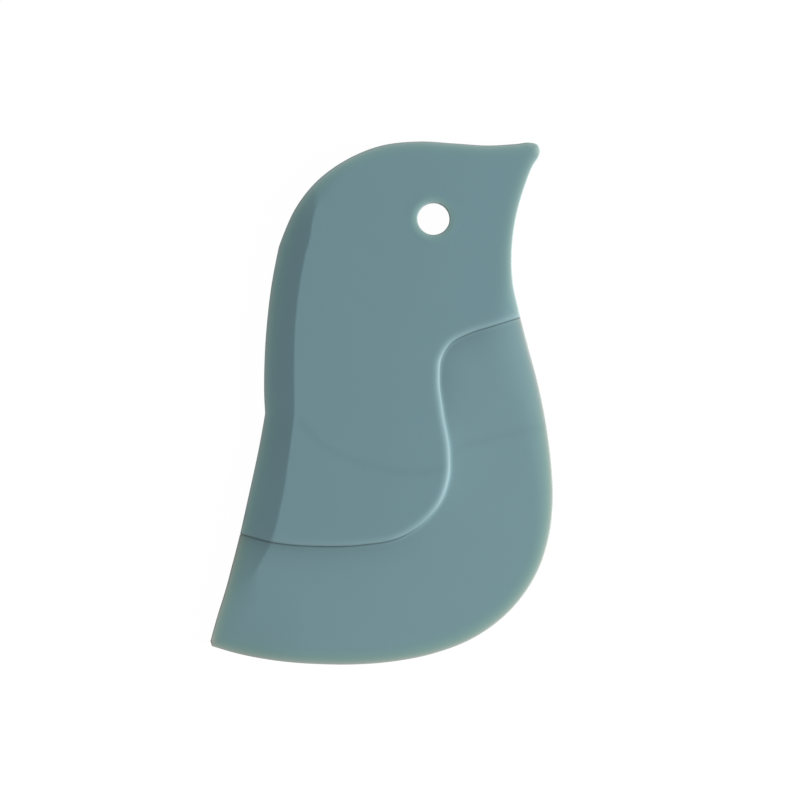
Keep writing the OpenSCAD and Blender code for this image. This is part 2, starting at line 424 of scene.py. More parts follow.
@dataclass(frozen=True)
class Relief:
    """Heights of the surface above the middle plane, which are the same on both faces.

    Attributes:
        plan: The lines that the heights are measured from.
        half: Half the thickness over the grip's flat faces.
        head_w, head_drop: Width and fall of the slope round the head and the throat.
        bevel_from, bevel_w, back_edge: Least and full width of the bevel, and half thickness at its foot.
        bevel_growth: The power by which the bevel's fall grows with its share.
        ridge_soft, head_soft: Heights over which its ridge is rounded where it is crisp and where not.
        grip_crisp, blade_crisp: Shares of the full bevel between which its ridge turns from soft to crisp.
        step_h, step_w, step_bow: Height, width and fullness of the rounded step at the seam.
        foot_share, foot_w, foot_bow: Share of the step that the blade's side takes, and the width and
            hollowness of its fillet there.
        wing_edge: Half thickness of the blade at the foot of the bevel.
        taper_from, taper_w, taper_drop, taper_growth: Least and full width of the taper along the belly,
            its fall at the full width, and the power by which the fall grows with the share.
        slope_bow: Power of the way that is left by which the slopes along the outline fall.
        tail_half, tail_l, tail_bow: Half thickness at the tail, how far from it the blade is full, and
            how far the blade bows outwards between.
        edge_r, seam_r: Rounding of the outline's edges and of both edges of the open seam.
        edge_soft: Height over which the other crests are rounded.
        corner_reach: Distance over which the glows of two rims add up at a corner.
        tinted, untinted: Shares of the full taper at which the rim has its full tint, and none.
    """

    plan: Plan
    half: float
    head_w: float = 3.5
    head_drop: float = 0.25
    bevel_from: float = 1.0
    bevel_w: float = 7.6
    back_edge: float = 1.15
    ridge_soft: float = 0.06
    head_soft: float = 0.5
    grip_crisp: tuple[float, float] = (0.3, 0.5)
    blade_crisp: tuple[float, float] = (0.6, 0.8)
    bevel_growth: float = 1.3
    step_h: float = 0.8
    step_w: float = 2.4
    step_bow: float = 3.6
    foot_share: float = 0.28
    foot_w: float = 1.4
    foot_bow: float = 3.6
    wing_edge: float = 0.8
    taper_from: float = 0.7
    taper_w: float = 6.0
    taper_drop: float = 0.63
    taper_growth: float = 0.75
    slope_bow: float = 2.65
    tail_half: float = 1.3
    tail_l: float = 24.0
    tail_bow: float = 1.5
    edge_r: float = 0.25
    seam_r: float = 0.14
    edge_soft: float = 0.2
    corner_reach: float = 0.72
    tinted: float = 1.0
    untinted: float = 2.1

    def ground(self, where: Array) -> Ground:
        """The plan's lines as seen from many places."""
        lines = (self.plan.back, self.plan.belly, self.plan.seam, self.plan.core)
        return Ground(where, *(line.nearest(where) for line in lines))

    def rim_felt(self, ground: Ground) -> Array:
        """The distance from the outline at which one rim alone would glow as much as both do together."""
        glows = [np.exp(-line.distance / self.corner_reach) for line in (ground.back, ground.belly)]
        return np.maximum(-self.corner_reach * np.log(glows[0] + glows[1]), 0)

    def tint(self, ground: Ground) -> Array:
        """How much of its tint the rim has, which fades where the taper is wide."""
        left = (self.untinted - ground.belly.carried[:, 0]) / (self.untinted - self.tinted)
        return np.clip(left, 0, 1)

    def bevel_width(self, share: Array | float) -> Array:
        """The distance from the back's outline to the ridge, for a share of the full bevel."""
        return mixed(self.bevel_from, self.bevel_w, share)

    def taper_width(self, share: Array) -> Array:
        """The distance from the belly's outline to the end of the taper, for a share of the full one."""
        return mixed(self.taper_from, self.taper_w, share)

    def fall(self, distance: Array, width: Array | float, drop: Array | float) -> Array:
        """How far a slope along the outline falls, by a power of the way that is left to its end."""
        return drop * (1 - np.clip(distance / width, 0, 1)) ** self.slope_bow

    def bevelled(
        self, face: Array, top: Array | float, foot: float, back: Nearest, crisp: tuple[float, float]
    ) -> Array:
        """A face cut by the bevel along the back.

        The bevel rises in a straight line from behind the edge's rounding, and the lower of it and the
        face is kept. Its ridge is crisp where its share is large, and dissolves where it runs out.

        Args:
            face: Heights of the face.
            top: The height that the bevel leads up to.
            foot: Its height at its foot where its share is full.
            back: The nearest places on the back.
            crisp: The shares between which the ridge turns from soft to crisp.

        Returns:
            The heights of the cut face.
        """
        share = np.clip(back.carried[:, 0], 0, 1)
        drop = (top - foot) * share**self.bevel_growth
        rise = (back.distance - self.edge_r) / (self.bevel_width(back.carried[:, 0]) - self.edge_r)
        crispness = np.clip((share - crisp[0]) / (crisp[1] - crisp[0]), 0, 1)
        soft = np.minimum(mixed(self.head_soft, self.ridge_soft, crispness), drop) + TINY
        return softer_min(top - drop * (1 - rise), face, soft)

    def blade(self, ground: Ground) -> Array:
        """Height of the blade, without what the seam does to it.

        Its flat face thins towards the tail, by a power of the way that is left. It is bevelled along
        the back, and falls along the belly.

        Args:
            ground: The places.

        Returns:
            A height for each place.
        """
        way = np.linalg.norm(ground.where - self.plan.back.points[0], axis=1) / self.tail_l
        fullness = 1 - (1 - np.clip(way, 0, 1)) ** self.tail_bow
        top = mixed(self.tail_half, self.half - self.step_h, fullness)
        share = np.maximum(ground.belly.carried[:, 0], 0)
        drop = self.taper_drop * share**self.taper_growth
        face = top - self.fall(ground.belly.distance, self.taper_width(share), drop)
        bevelled = self.bevelled(face, top, self.wing_edge, ground.back, self.blade_crisp)
        return bevelled - rounding(ground.rim, self.edge_r)

    def grip(self, ground: Ground) -> Array:
        """Height of the grip, without what the seam does to it.

        It falls round the head and down the throat, where the slope widens towards the seam, and is
        bevelled along the back.

        Args:
            ground: The places.

        Returns:
            A height for each place.
        """
        left = 1 - np.clip(ground.back.carried[:, 0], 0, 1)
        head = self.half - self.fall(ground.back.distance, self.head_w, self.head_drop * left)
        share = np.maximum(ground.belly.carried[:, 0], 0)
        width = mixed(self.head_w, self.taper_w, share)
        drop = mixed(self.head_drop, self.taper_drop, share)
        throat = self.half - self.fall(ground.belly.distance, width, drop)
        face = softer_min(head, throat, self.edge_soft)
        bevelled = self.bevelled(face, self.half, self.back_edge, ground.back, self.grip_crisp)
        return bevelled - rounding(ground.rim, self.edge_r)

    def height(self, ground: Ground) -> Array:
        """Height of the surface.

        Across the seam it passes from the blade's height to the grip's. On the grip's side the share
        that is left falls by a power of the way over the step, and on the blade's side the share that
        is reached falls by a power of the way over the fillet. Where the joint is open, both edges are
        rounded down into it.

        Args:
            ground: The places.

        Returns:
            A height for each place.
        """
        over = np.clip(ground.seam.distance / self.step_w, 0, 1)
        under = np.clip(ground.seam.distance / self.foot_w, 0, 1)
        on_grip = 1 - (1 - self.foot_share) * (1 - over) ** self.step_bow
        on_blade = self.foot_share * (1 - under) ** self.foot_bow
        share = np.where(ground.seam.side > 0, on_grip, on_blade)
        joint = rounding(ground.seam.distance, self.seam_r * np.clip(ground.seam.carried[:, 1], 0, 1))
        return mixed(self.blade(ground), self.grip(ground), share) - joint

    def ridge_from(
        self, start: Array, direction: Array, reach: Array, passes: int = 8, least_leaving: float = 0.3
    ) -> Array:
        """How far along each ray the bevel's ridge lies.

        The search starts at the full bevel's width, or at the middle of a shorter ray. It brings the
        distance to the back to the bevel's width by steps, each as long as what is missing over how fast
        the ray leaves the back. A ray that starts past the ridge gives 0.

        Args:
            start: Where the rays start, one row each.
            direction: Their unit directions.
            reach: Their lengths, past which no ridge is looked for.
            passes: Number of steps.
            least_leaving: Least speed at which a ray is taken to leave the back.

        Returns:
            A distance along each ray.
        """
        at = np.minimum(self.bevel_w, reach / 2)
        for _ in range(passes):
            place = start + direction * at[:, None]
            back = self.plan.back.nearest(place)
            leaving = ((place - back.foot) * direction).sum(1) / np.maximum(back.distance, TINY)
            missing = self.bevel_width(back.carried[:, 0]) - back.distance
            at = np.clip(at + missing / np.maximum(leaving, least_leaving), 0, reach)
        return at

    def stretches(self) -> Stretches:
        """Cuts the plan's lines where they cross.

        Returns:
            The stretches, which carry the radii of their edges.
        """
        plan = self.plan
        low_seam, low_back = plan.seam.crossing(plan.back)
        high_seam, high_belly = plan.seam.crossing(plan.belly)
        return Stretches(
            wing=plan.back.part(0, low_back).carrying(self.edge_r),
            back=plan.back.part(low_back, plan.back.along[-1]).carrying(self.edge_r),
            belly=plan.belly.part(0, high_belly).carrying(self.edge_r),
            throat=plan.belly.part(high_belly, plan.belly.along[-1]).carrying(self.edge_r),
            seam=plan.seam.part(low_seam, high_seam).carrying(self.seam_r),
        )


# Meshes


class Field(Enum):
    """What the points of a moulding tell its finish.

    First come the distances to the rim, the seam and the core plate's edge, then how much painted shade
    the blade gets beside the seam, how open the joint is, and how much of its tint the rim has.
    """

    RIM = "rim"
    SEAM = "seam"
    CORE = "core"
    FOOT_SHADE = "foot"
    JOINT = "joint"
    TINT = "tint"


def band(rings: Ids) -> Ids:
    """Quads between successive closed rings of point numbers, one ring a row."""
    here, after = rings[:-1], rings[1:]
    return np.stack([here, after, np.roll(after, -1, 1), np.roll(here, -1, 1)], -1).reshape(-1, 4)


def closed_form(
    lattice: Array, block: Block | None, rings: Array, wall_steps: int = 4
) -> tuple[Array, list[Ids]]:
    """Two faces that mirror each other about the middle plane, closed by a wall round their outline.

    The lattice's first and last row are each one point. Its cells become quads, or triangles at those
    two points, once at their height and once below the middle plane. The wall steps down between the
    two outlines, and its depth below the nearer one counts as distance from the rim. Where a block of
    cells is left out, rings of points lead from its upper outline through the form to its lower one.

    Args:
        lattice: Rows, columns, and for each point X, Y, its height and its fields, the rim's first.
        block: The rows and columns of the cells that are left out, if any.
        rings: The rings through the block, each with as many points as the block's outline.
        wall_steps: Steps of the wall from one face to the other.

    Returns:
        The points, each with its fields, and the faces as arrays of point numbers.
    """
    rows, columns, _ = lattice.shape
    count = (rows - 2) * columns + 2
    ids = np.empty((rows, columns), int)
    ids[1:-1] = np.arange(count - 2).reshape(rows - 2, columns)
    ids[0], ids[-1] = count - 2, count - 1
    upper = np.vstack([lattice[1:-1].reshape(count - 2, -1), lattice[0, :1], lattice[-1, :1]])
    mirror = np.ones(lattice.shape[2])
    mirror[HEIGHT] = -1

    cells = np.stack([ids[:-1, :-1], ids[:-1, 1:], ids[1:, 1:], ids[1:, :-1]], -1)
    kept = np.ones(cells.shape[:2], bool)
    if block:
        kept[block] = False
    ends = np.vstack([cells[0][:, [0, 2, 3]], cells[-1][:, [0, 1, 2]]])
    quads = cells[1:-1][kept[1:-1]]

    outline = np.concatenate([ids[:, 0], ids[-2:0:-1, -1]])
    falls = 1 - 2 * np.arange(1, wall_steps) / wall_steps
    wall = np.repeat(upper[outline][None], len(falls), 0)
    wall[..., RIM] += wall[..., HEIGHT] * (1 - np.abs(falls))[:, None]
    wall[..., HEIGHT] *= falls[:, None]
    wall_ids = 2 * count + np.arange(wall.shape[0] * wall.shape[1]).reshape(wall.shape[:2])
    sides = [band(np.vstack([outline, wall_ids, outline + count]))]
    if block:
        loop = block_outline(ids, block)
        ring_ids = np.arange(rings.shape[0] * rings.shape[1]).reshape(rings.shape[:2])
        ring_ids += wall_ids.max() + 1
        sides.append(band(np.vstack([loop, ring_ids, loop + count])))
    points = np.vstack([
        upper, upper * mirror, wall.reshape(-1, upper.shape[1]), rings.reshape(-1, upper.shape[1])
    ])
    return points, [ends, ends + count, quads, quads + count, *sides]


def block_outline(grid: NDArray[Any], block: Block) -> NDArray[Any]:
    """What a grid holds round the outline of a block of its cells.

    Args:
        grid: Numbers or rows of numbers, by row and column.
        block: The rows and columns of the block's cells.

    Returns:
        The block's outline, in order and once round.
    """
    (top, bottom), (left, right) = ((s.start, s.stop) for s in block)
    return np.concatenate([
        grid[top, left:right], grid[top:bottom, right],
        grid[bottom, right:left:-1], grid[bottom:top:-1, left],
    ])


def in_scene(name: str, data: bpy.types.ID) -> bpy.types.Object:
    """Adds an object to the scene.

    Args:
        name: Its name.
        data: Its mesh, lamp or camera.

    Returns:
        The object, at the origin.
    """
    made = bpy.data.objects.new(name, data)
    bpy.context.scene.collection.objects.link(made)
    return made


def piece_of(name: str, points: Array, faces: list[Ids], middle: float) -> bpy.types.Object:
    """An object of these points and faces, smooth, with its faces outwards and its fields as attributes.

    Args:
        name: The object's name.
        points: X, Y, the height above the middle plane and the fields, in millimetres.
        faces: Arrays of point numbers, with one face a row.
        middle: Height of the middle plane.

    Returns:
        The object.
    """
    mesh = bpy.data.meshes.new(name)
    places = (points[:, :RIM] + [0, 0, middle]) * METRE
    mesh.from_pydata(places.tolist(), [], [face for group in faces for face in group.tolist()])
    turned = bmesh.new()
    turned.from_mesh(mesh)
    bmesh.ops.recalc_face_normals(turned, faces=turned.faces)
    turned.to_mesh(mesh)
    turned.free()
    mesh.polygons.foreach_set("use_smooth", np.ones(len(mesh.polygons), bool))
    for column, kind in enumerate(Field, RIM):
        made = mesh.attributes.new(kind.value, "FLOAT", "POINT")
        made.data.foreach_set("value", points[:, column].astype(np.float32))
    mesh.update()
    return in_scene(name, mesh)


# Shaders


class Number:
    """A node's number, on which Python's operators add Math nodes."""

    def __init__(self, shader: "Shader", socket: bpy.types.NodeSocket) -> None:
        """Takes the shader that the node belongs to, and the output socket."""
        self.shader = shader
        self.socket = socket

    def __add__(self, other: "Number | float") -> "Number":
        """The sum."""
        return self.shader.maths("ADD", self, other)

    def __sub__(self, other: "Number | float") -> "Number":
        """The difference."""
        return self.shader.maths("SUBTRACT", self, other)

    def __rsub__(self, other: float) -> "Number":
        """The difference from a plain number."""
        return self.shader.maths("SUBTRACT", other, self)

    def __mul__(self, other: "Number | float") -> "Number":
        """The product."""
        return self.shader.maths("MULTIPLY", self, other)

    __radd__ = __add__
    __rmul__ = __mul__

    def clamped(self) -> "Number":
        """The number, held between 0 and 1."""
        return self.shader.maths("MINIMUM", self.shader.maths("MAXIMUM", self, 0.0), 1.0)

    def fading(self, reach: float) -> "Number":
        """1 where the number is 0, and less by the factor e for every reach."""
        return self.shader.maths("EXPONENT", self * (-1.0 / reach))

    def bell(self, reach: float) -> "Number":
        """1 where the number is 0, and less by the factor e for every square of the reach."""
        return (self * self).fading(reach**2)


class Shader:
    """A node tree in the making: a material's or the world's."""

    def __init__(self, tree: bpy.types.NodeTree) -> None:
        """Takes the tree and empties it."""
        self.tree = tree
        self.tree.nodes.clear()

    def node(
        self, kind: str, settings: dict[str, Any] | None = None, inputs: dict[str | int, Any] | None = None
    ) -> bpy.types.Node:
        """Adds a node.

        Args:
            kind: The node's type.
            settings: Its properties, which are set first.
            inputs: Values, numbers, sockets or nodes by the name or place of the socket that they feed.

        Returns:
            The node.
        """
        made = self.tree.nodes.new(kind)
        for key, value in (settings or {}).items():
            setattr(made, key, value)
        for key, value in (inputs or {}).items():
            if isinstance(value, Number):
                value = value.socket
            if isinstance(value, bpy.types.Node):
                value = value.outputs[0]
            if isinstance(value, bpy.types.NodeSocket):
                self.tree.links.new(value, made.inputs[key])
            else:
                made.inputs[key].default_value = value
        return made

    def maths(self, operation: str, *values: "Number | float") -> Number:
        """A Math node of one or two numbers."""
        made = self.node("ShaderNodeMath", {"operation": operation}, dict(enumerate(values)))
        return Number(self, made.outputs[0])

    def field(self, kind: Field) -> Number:
        """A field of the piece, in millimetres or as a share."""
        made = self.node("ShaderNodeAttribute", {"attribute_name": kind.value})
        return Number(self, made.outputs["Fac"])

    def noise(self, size: float, detail: float = 2.0) -> Number:
        """A noise on the object's own coordinates, between 0 and 1 round a half.

        Args:
            size: Size of its features in millimetres.
            detail: How many finer layers it has.

        Returns:
            The noise.
        """
        place = self.node("ShaderNodeTexCoord").outputs["Object"]
        inputs = {"Vector": place, "Scale": 1 / (size * METRE), "Detail": detail}
        return Number(self, self.node("ShaderNodeTexNoise", inputs=inputs).outputs[0])

    def uneven(self, amount: float, size: float, detail: float = 2.0) -> Number:
        """A noise round 0 that goes up and down by half an amount at most."""
        return (self.noise(size, detail) - 0.5) * amount

    def mixed(self, a: Any, b: Any, share: Number) -> bpy.types.NodeSocket:
        """A colour from a at share 0 to b at share 1."""
        made = self.node("ShaderNodeMix", {"data_type": "RGBA"}, {0: share, MIX_A: a, MIX_B: b})
        return made.outputs[MIX_RESULT]

    def scaled(self, colour: bpy.types.NodeSocket, factor: Number) -> bpy.types.NodeSocket:
        """A colour made lighter or darker by a factor."""
        inputs = {0: colour, "Scale": factor}
        return self.node("ShaderNodeVectorMath", {"operation": "SCALE"}, inputs).outputs[0]

    def bump(self, height: Number) -> bpy.types.Node:
        """Bends the reflections as a relief of a height in millimetres would."""
        return self.node("ShaderNodeBump", inputs={"Height": height * METRE, "Distance": 1.0})

    def principled(self, inputs: dict[str, Any]) -> None:
        """Ends a material in a Principled shader with these inputs."""
        surface = self.node("ShaderNodeBsdfPrincipled", inputs=inputs)
        self.node("ShaderNodeOutputMaterial", inputs={"Surface": surface})


def empty_material(name: str) -> tuple[bpy.types.Material, Shader]:
    """Adds a material.

    Args:
        name: Its name.

    Returns:
        The material, and the shader that fills it.
    """
    made = bpy.data.materials.new(name)
    made.use_nodes = True
    return made, Shader(made.node_tree)


def linear(colour: Colour, share: float = 1.0) -> tuple[float, float, float, float]:
    """A screen colour as the light that it stands for.

    The screen's curve is a straight line near black and a power of 2.4 above it.

    Args:
        colour: Red, green and blue, up to 255.
        share: What the light is multiplied by.

    Returns:
        Red, green, blue and an opacity of 1.
    """
    c = np.array(colour) / 255
    light = np.where(c <= 0.04045, c / 12.92, ((c + 0.055) / 1.055) ** 2.4) * share
    return (*light.tolist(), 1.0)


@dataclass(frozen=True)
class Silicone:
    """Satin moulded silicone, with a painted glow a little along its rims.

    Attributes:
        body: Its colour, as it looks under plain light.
        margin: Its colour a little way in from the rim, where it has its tint.
        rim: A lighter colour painted at the very rim, as a glow where light comes through the thin edge.
        glaze: Share of the written colours that the material keeps, since its gloss adds some light.
        margin_reach, rim_glow_reach, rim_glow_share: How far in both reach, and how strong the rim's
        painted glow is.
        foot_shade, foot_shade_reach: Share of the painted shade beside the seam that the piece takes, and
            how far it goes.
        crest, crest_glow_share, crest_glow_reach: The painted highlight on the crest at the seam: its
        colour, how strong and how far in.
        joint_shade, joint_w: How much painted shade darkens the open joint, where its groove falls into
            shadow, and half its width.
        core_line, core_reach: How much darker the edge of the core plate shows through, and how wide.
        mottle, mottle_size: How much the colour is mottled, and the size of the spots in millimetres.
        grain, grain_size, wave, wave_size: Heights and sizes of the fine grain and of the long wave.
        roughness, roughness_change, change_size: Its roughness, how much it changes and over what size.
        ior, specular: Index of refraction and strength of the gloss.
    """

    body: Colour
    margin: Colour
    rim: Colour
    glaze: float = 0.965
    margin_reach: float = 2.6
    rim_glow_reach: float = 0.72
    rim_glow_share: float = 0.8
    foot_shade: float = 0.0
    foot_shade_reach: float = 3.2
    # A lighter colour painted on the grip's crest beside the seam, as a highlight.
    crest: Colour = (146, 169, 171)
    crest_glow_share: float = 0.0
    crest_glow_reach: float = 0.8
    joint_shade: float = 0.4
    joint_w: float = 0.25
    core_line: float = 0.04
    core_reach: float = 1.1
    mottle: float = 0.03
    mottle_size: float = 9.0
    grain: float = 0.006
    grain_size: float = 0.35
    wave: float = 0.04
    wave_size: float = 14.0
    roughness: float = 0.5
    roughness_change: float = 0.08
    change_size: float = 3.0
    ior: float = 1.41
    specular: float = 0.3

    def material(self, name: str) -> bpy.types.Material:
        """The finish as a material, with a fine grain and a long, shallow wave in its surface.

        Args:
            name: The material's name.

        Returns:
            The material.
        """
        made, shader = empty_material(name)
        grain = shader.uneven(self.grain, self.grain_size)
        wave = shader.uneven(self.wave, self.wave_size, detail=0.0)
        shader.principled({
            "Base Color": self._colour(shader),
            "Roughness": self.roughness + shader.uneven(self.roughness_change, self.change_size),
            "IOR": self.ior,
            "Specular IOR Level": self.specular,
            "Normal": shader.bump(grain + wave),
        })
        return made

    def _colour(self, shader: Shader) -> bpy.types.NodeSocket:
        """The colour over the surface.

        The rim's two colours, its tint and its painted glow, come in by the distance from the rim, and the
        crest's painted highlight by that from the seam. The colour is then made darker over the core
        plate's edge, by painted shade at the seam's foot, which is painted light where that field is below
        0, and by painted shade in the open joint, and mottled a little.

        Args:
            shader: The shader that gets the nodes.

        Returns:
            The socket that gives the colour.
        """
        written = (self.body, self.margin, self.rim, self.crest)
        body, margin, edge, crest = (linear(colour, self.glaze) for colour in written)
        rim, seam = shader.field(Field.RIM), shader.field(Field.SEAM)
        colour = shader.mixed(body, margin, rim.bell(self.margin_reach) * shader.field(Field.TINT))
        # Painted glow at the rim, standing in for light that comes through the thin edge.
        colour = shader.mixed(colour, edge, rim.fading(self.rim_glow_reach) * self.rim_glow_share)
        # Painted highlight on the crest beside the seam.
        colour = shader.mixed(colour, crest, seam.fading(self.crest_glow_reach) * self.crest_glow_share)
        core = shader.field(Field.CORE).bell(self.core_reach)
        # Painted shade on the blade at the seam's foot, which turns to painted light where the field is
        # below 0.
        foot = seam.fading(self.foot_shade_reach) * shader.field(Field.FOOT_SHADE)
        # Painted shade in the open joint.
        joint = seam.bell(self.joint_w) * shader.field(Field.JOINT)
        shade = (1 - core * self.core_line) * (1 - foot * self.foot_shade)
        shade = shade * (1 - joint * self.joint_shade)
        shade = shade * (1 + shader.uneven(self.mottle, self.mottle_size))
        return shader.scaled(colour, shade)


@dataclass(frozen=True)
class Nylon:
    """Matte moulded nylon, with the fine texture that a spark-eroded mould leaves.

    Attributes:
        body: Its colour, as it looks under plain light.
        texture, texture_size, texture_detail: Height, size and finer layers of the texture.
        clouding, clouding_size, clouding_detail: How much the colour changes, over what size, and in how
            many finer layers.
        roughness, roughness_change: Its roughness, and how much it changes with the colour.
    """

    body: Colour
    texture: float = 0.02
    texture_size: float = 0.5
    texture_detail: float = 4.0
    clouding: float = 0.08
    clouding_size: float = 6.0
    clouding_detail: float = 3.0
    roughness: float = 0.55
    roughness_change: float = 0.1

    def material(self, name: str) -> bpy.types.Material:
        """The finish as a material.

        Args:
            name: The material's name.

        Returns:
            The material.
        """
        made, shader = empty_material(name)
        clouds = shader.noise(self.clouding_size, self.clouding_detail)
        lighter = linear(self.body, 1 + self.clouding)
        darker = linear(self.body, 1 - self.clouding)
        shader.principled({
            "Base Color": shader.mixed(darker, lighter, clouds.clamped()),
            "Roughness": self.roughness + (clouds - 0.5) * self.roughness_change,
            "Normal": shader.bump(shader.noise(self.texture_size, self.texture_detail) * self.texture),
        })
        return made


# Pieces


class Rows(NamedTuple):
    """Straight rows across a moulding, from its left side to its right.

    Attributes:
        start, end: X and Y of their ends.
        direction, length: Their unit directions and their lengths.
        left_slant, right_slant: The sines of the angles at which they meet the sides.
        left_edge, right_edge: The radii of the edges' roundings there.
    """

    start: Array
    end: Array
    direction: Array
    length: Array
    left_slant: Array
    right_slant: Array
    left_edge: Array
    right_edge: Array


@dataclass(frozen=True, kw_only=True)
class Moulding:
    """What the two soft mouldings share: rows of points across the plan, lifted by the relief.

    Attributes:
        relief: Gives the heights.
        middle: Height of the middle plane.
        finish: The silicone.
        node, slot: The CAD node that the piece stands for, and its material slot.
        marks: Shares of the lengths of the left and right side that rows join.
        rows, gathering: Number of rows, and how much closer they lie at both ends, from 0 to 1.
        edge_columns, slope_columns, crest_columns, inner_columns: Columns over the edge's rounding, the
            slope behind it, the crest behind that and the flat middle.
        crest_w: Half the width that the crest's columns cover.
        steep_share: Share of a step's or a taper's width that its closest columns cover.
        least_slant: Least sine of the angle between a row and a side that the columns make room for.
        fill: Share of a row that both sides' stops may fill.
    """

    relief: Relief
    middle: float
    finish: Silicone
    node: str
    slot: str
    marks: tuple[tuple[float, float], ...]
    rows: int = 400
    gathering: float = 0.6
    edge_columns: int = 6
    slope_columns: int = 8
    crest_columns: int = 8
    inner_columns: int = 60
    crest_w: float = 0.5
    steep_share: float = 0.6
    least_slant: float = 0.35
    fill: float = 0.97

    def sides(self) -> tuple[Line, Line]:
        """The left and the right side, from the lower end up, which carry the radii of their edges."""
        raise NotImplementedError

    def right_stops(self, rows: Rows) -> Array:
        """Distances from the right end of each row to the end of the edge, the slope and the crest."""
        raise NotImplementedError

    def left_stops(self, rows: Rows) -> Array:
        """The same from the left end, where the slope is the bevel and the crest its ridge.

        Args:
            rows: The rows.

        Returns:
            Three distances for each row.
        """
        edge = rows.left_edge / rows.left_slant
        ridge = self.relief.ridge_from(rows.start, rows.direction, rows.length)
        crest = self.crest_w / rows.left_slant
        before = np.maximum(ridge - crest, edge + self.crest_w)
        return np.column_stack([edge, before, np.maximum(ridge, before) + crest])

    def across(self) -> Rows:
        """The rows, which join places at the marks' shares of both sides.

        They lie closer at both ends, by a sine wave that is taken off their even places.

        Returns:
            The rows, from the lower end up.
        """
        left, right = self.sides()
        u = np.linspace(0, 1, self.rows)
        way = u - self.gathering * np.sin(2 * math.pi * u) / (2 * math.pi)
        marks = np.array(self.marks)
        start, left_run, left_edge = left.at(np.interp(way, marks.mean(1), marks[:, 0]))
        end, right_run, right_edge = right.at(np.interp(way, marks.mean(1), marks[:, 1]))
        span = end - start
        length = np.linalg.norm(span, axis=1)
        direction = span / np.maximum(length, TINY)[:, None]

        def slant(run: Array) -> Array:
            """The sine of the angle between the rows and a side."""
            sine = np.abs(direction[:, 0] * run[:, 1] - direction[:, 1] * run[:, 0])
            return np.maximum(sine, self.least_slant)

        slants = slant(left_run), slant(right_run)
        return Rows(start, end, direction, length, *slants, left_edge[:, 0], right_edge[:, 0])

    def columns(self, rows: Rows) -> Array:
        """Distances along each row at which its points lie.

        On either side the edge's points lie evenly round its quarter circle, and those of the slope and
        the crest evenly between their stops. Where a row is too short for both sides' stops, they are
        drawn in together.

        Args:
            rows: The rows.

        Returns:
            The distances from the left end, one row each.
        """
        left, right = self.left_stops(rows), self.right_stops(rows)
        needed = left[:, -1] + right[:, -1]
        drawn_in = np.minimum(1, self.fill * rows.length / np.maximum(needed, TINY))[:, None]
        left, right = left * drawn_in, right * drawn_in
        edge = 1 - np.cos(np.arange(self.edge_columns) / self.edge_columns * math.pi / 2)
        slope = np.arange(self.slope_columns) / self.slope_columns
        crest = np.arange(self.crest_columns) / self.crest_columns

        def side(stops: Array) -> Array:
            """Columns from an end of the rows up to the last stop, which is left out."""
            a, b, c = stops.T[:, :, None]
            return np.hstack([a * edge, a + (b - a) * slope, b + (c - b) * crest])

        flat = np.linspace(0, 1, self.inner_columns + 1)
        first, last = left[:, -1:], rows.length[:, None] - right[:, -1:]
        back = rows.length[:, None] - side(right)[:, ::-1]
        return np.hstack([side(left), first + (last - first) * flat, back])

    def lifted(self, places: Array, rim: Array | None = None) -> Array:
        """Places with their height and fields.

        Args:
            places: X and Y in the last axis.
            rim: The distance to the rim, where it isn't that to the outline.

        Returns:
            A table like the places, with the height and the fields after X and Y.
        """
        flat = places.reshape(-1, 2)
        ground = self.relief.ground(flat)
        rim = self.relief.rim_felt(ground) if rim is None else rim.ravel()
        table = np.column_stack([
            flat, self.relief.height(ground), rim, ground.seam.distance, ground.core.distance,
            ground.seam.carried, self.relief.tint(ground),
        ])
        return table.reshape(*places.shape[:-1], -1)

    def through(self, lattice: Array) -> tuple[Block | None, Array]:
        """The block of cells that a hole takes, and the rings of points through it."""
        return None, np.empty((0, 0, lattice.shape[2]))

    def build(self) -> bpy.types.Object:
        """Makes the piece and dresses it.

        Returns:
            The piece.
        """
        rows = self.across()
        places = rows.start[:, None] + rows.direction[:, None] * self.columns(rows)[..., None]
        places[:, -1] = rows.end
        lattice = self.lifted(places)
        points, faces = closed_form(lattice, *self.through(lattice))
        piece = piece_of(self.node + "_form", points, faces, self.middle)
        self.dress(piece)
        return piece

    def dress(self, piece: bpy.types.Object) -> None:
        """Gives the piece its finish and sets it on the frame.

        Args:
            piece: The piece.
        """
        piece.data.materials.append(self.finish.material(self.slot))
        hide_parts(self.node)
        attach(piece, BODY)


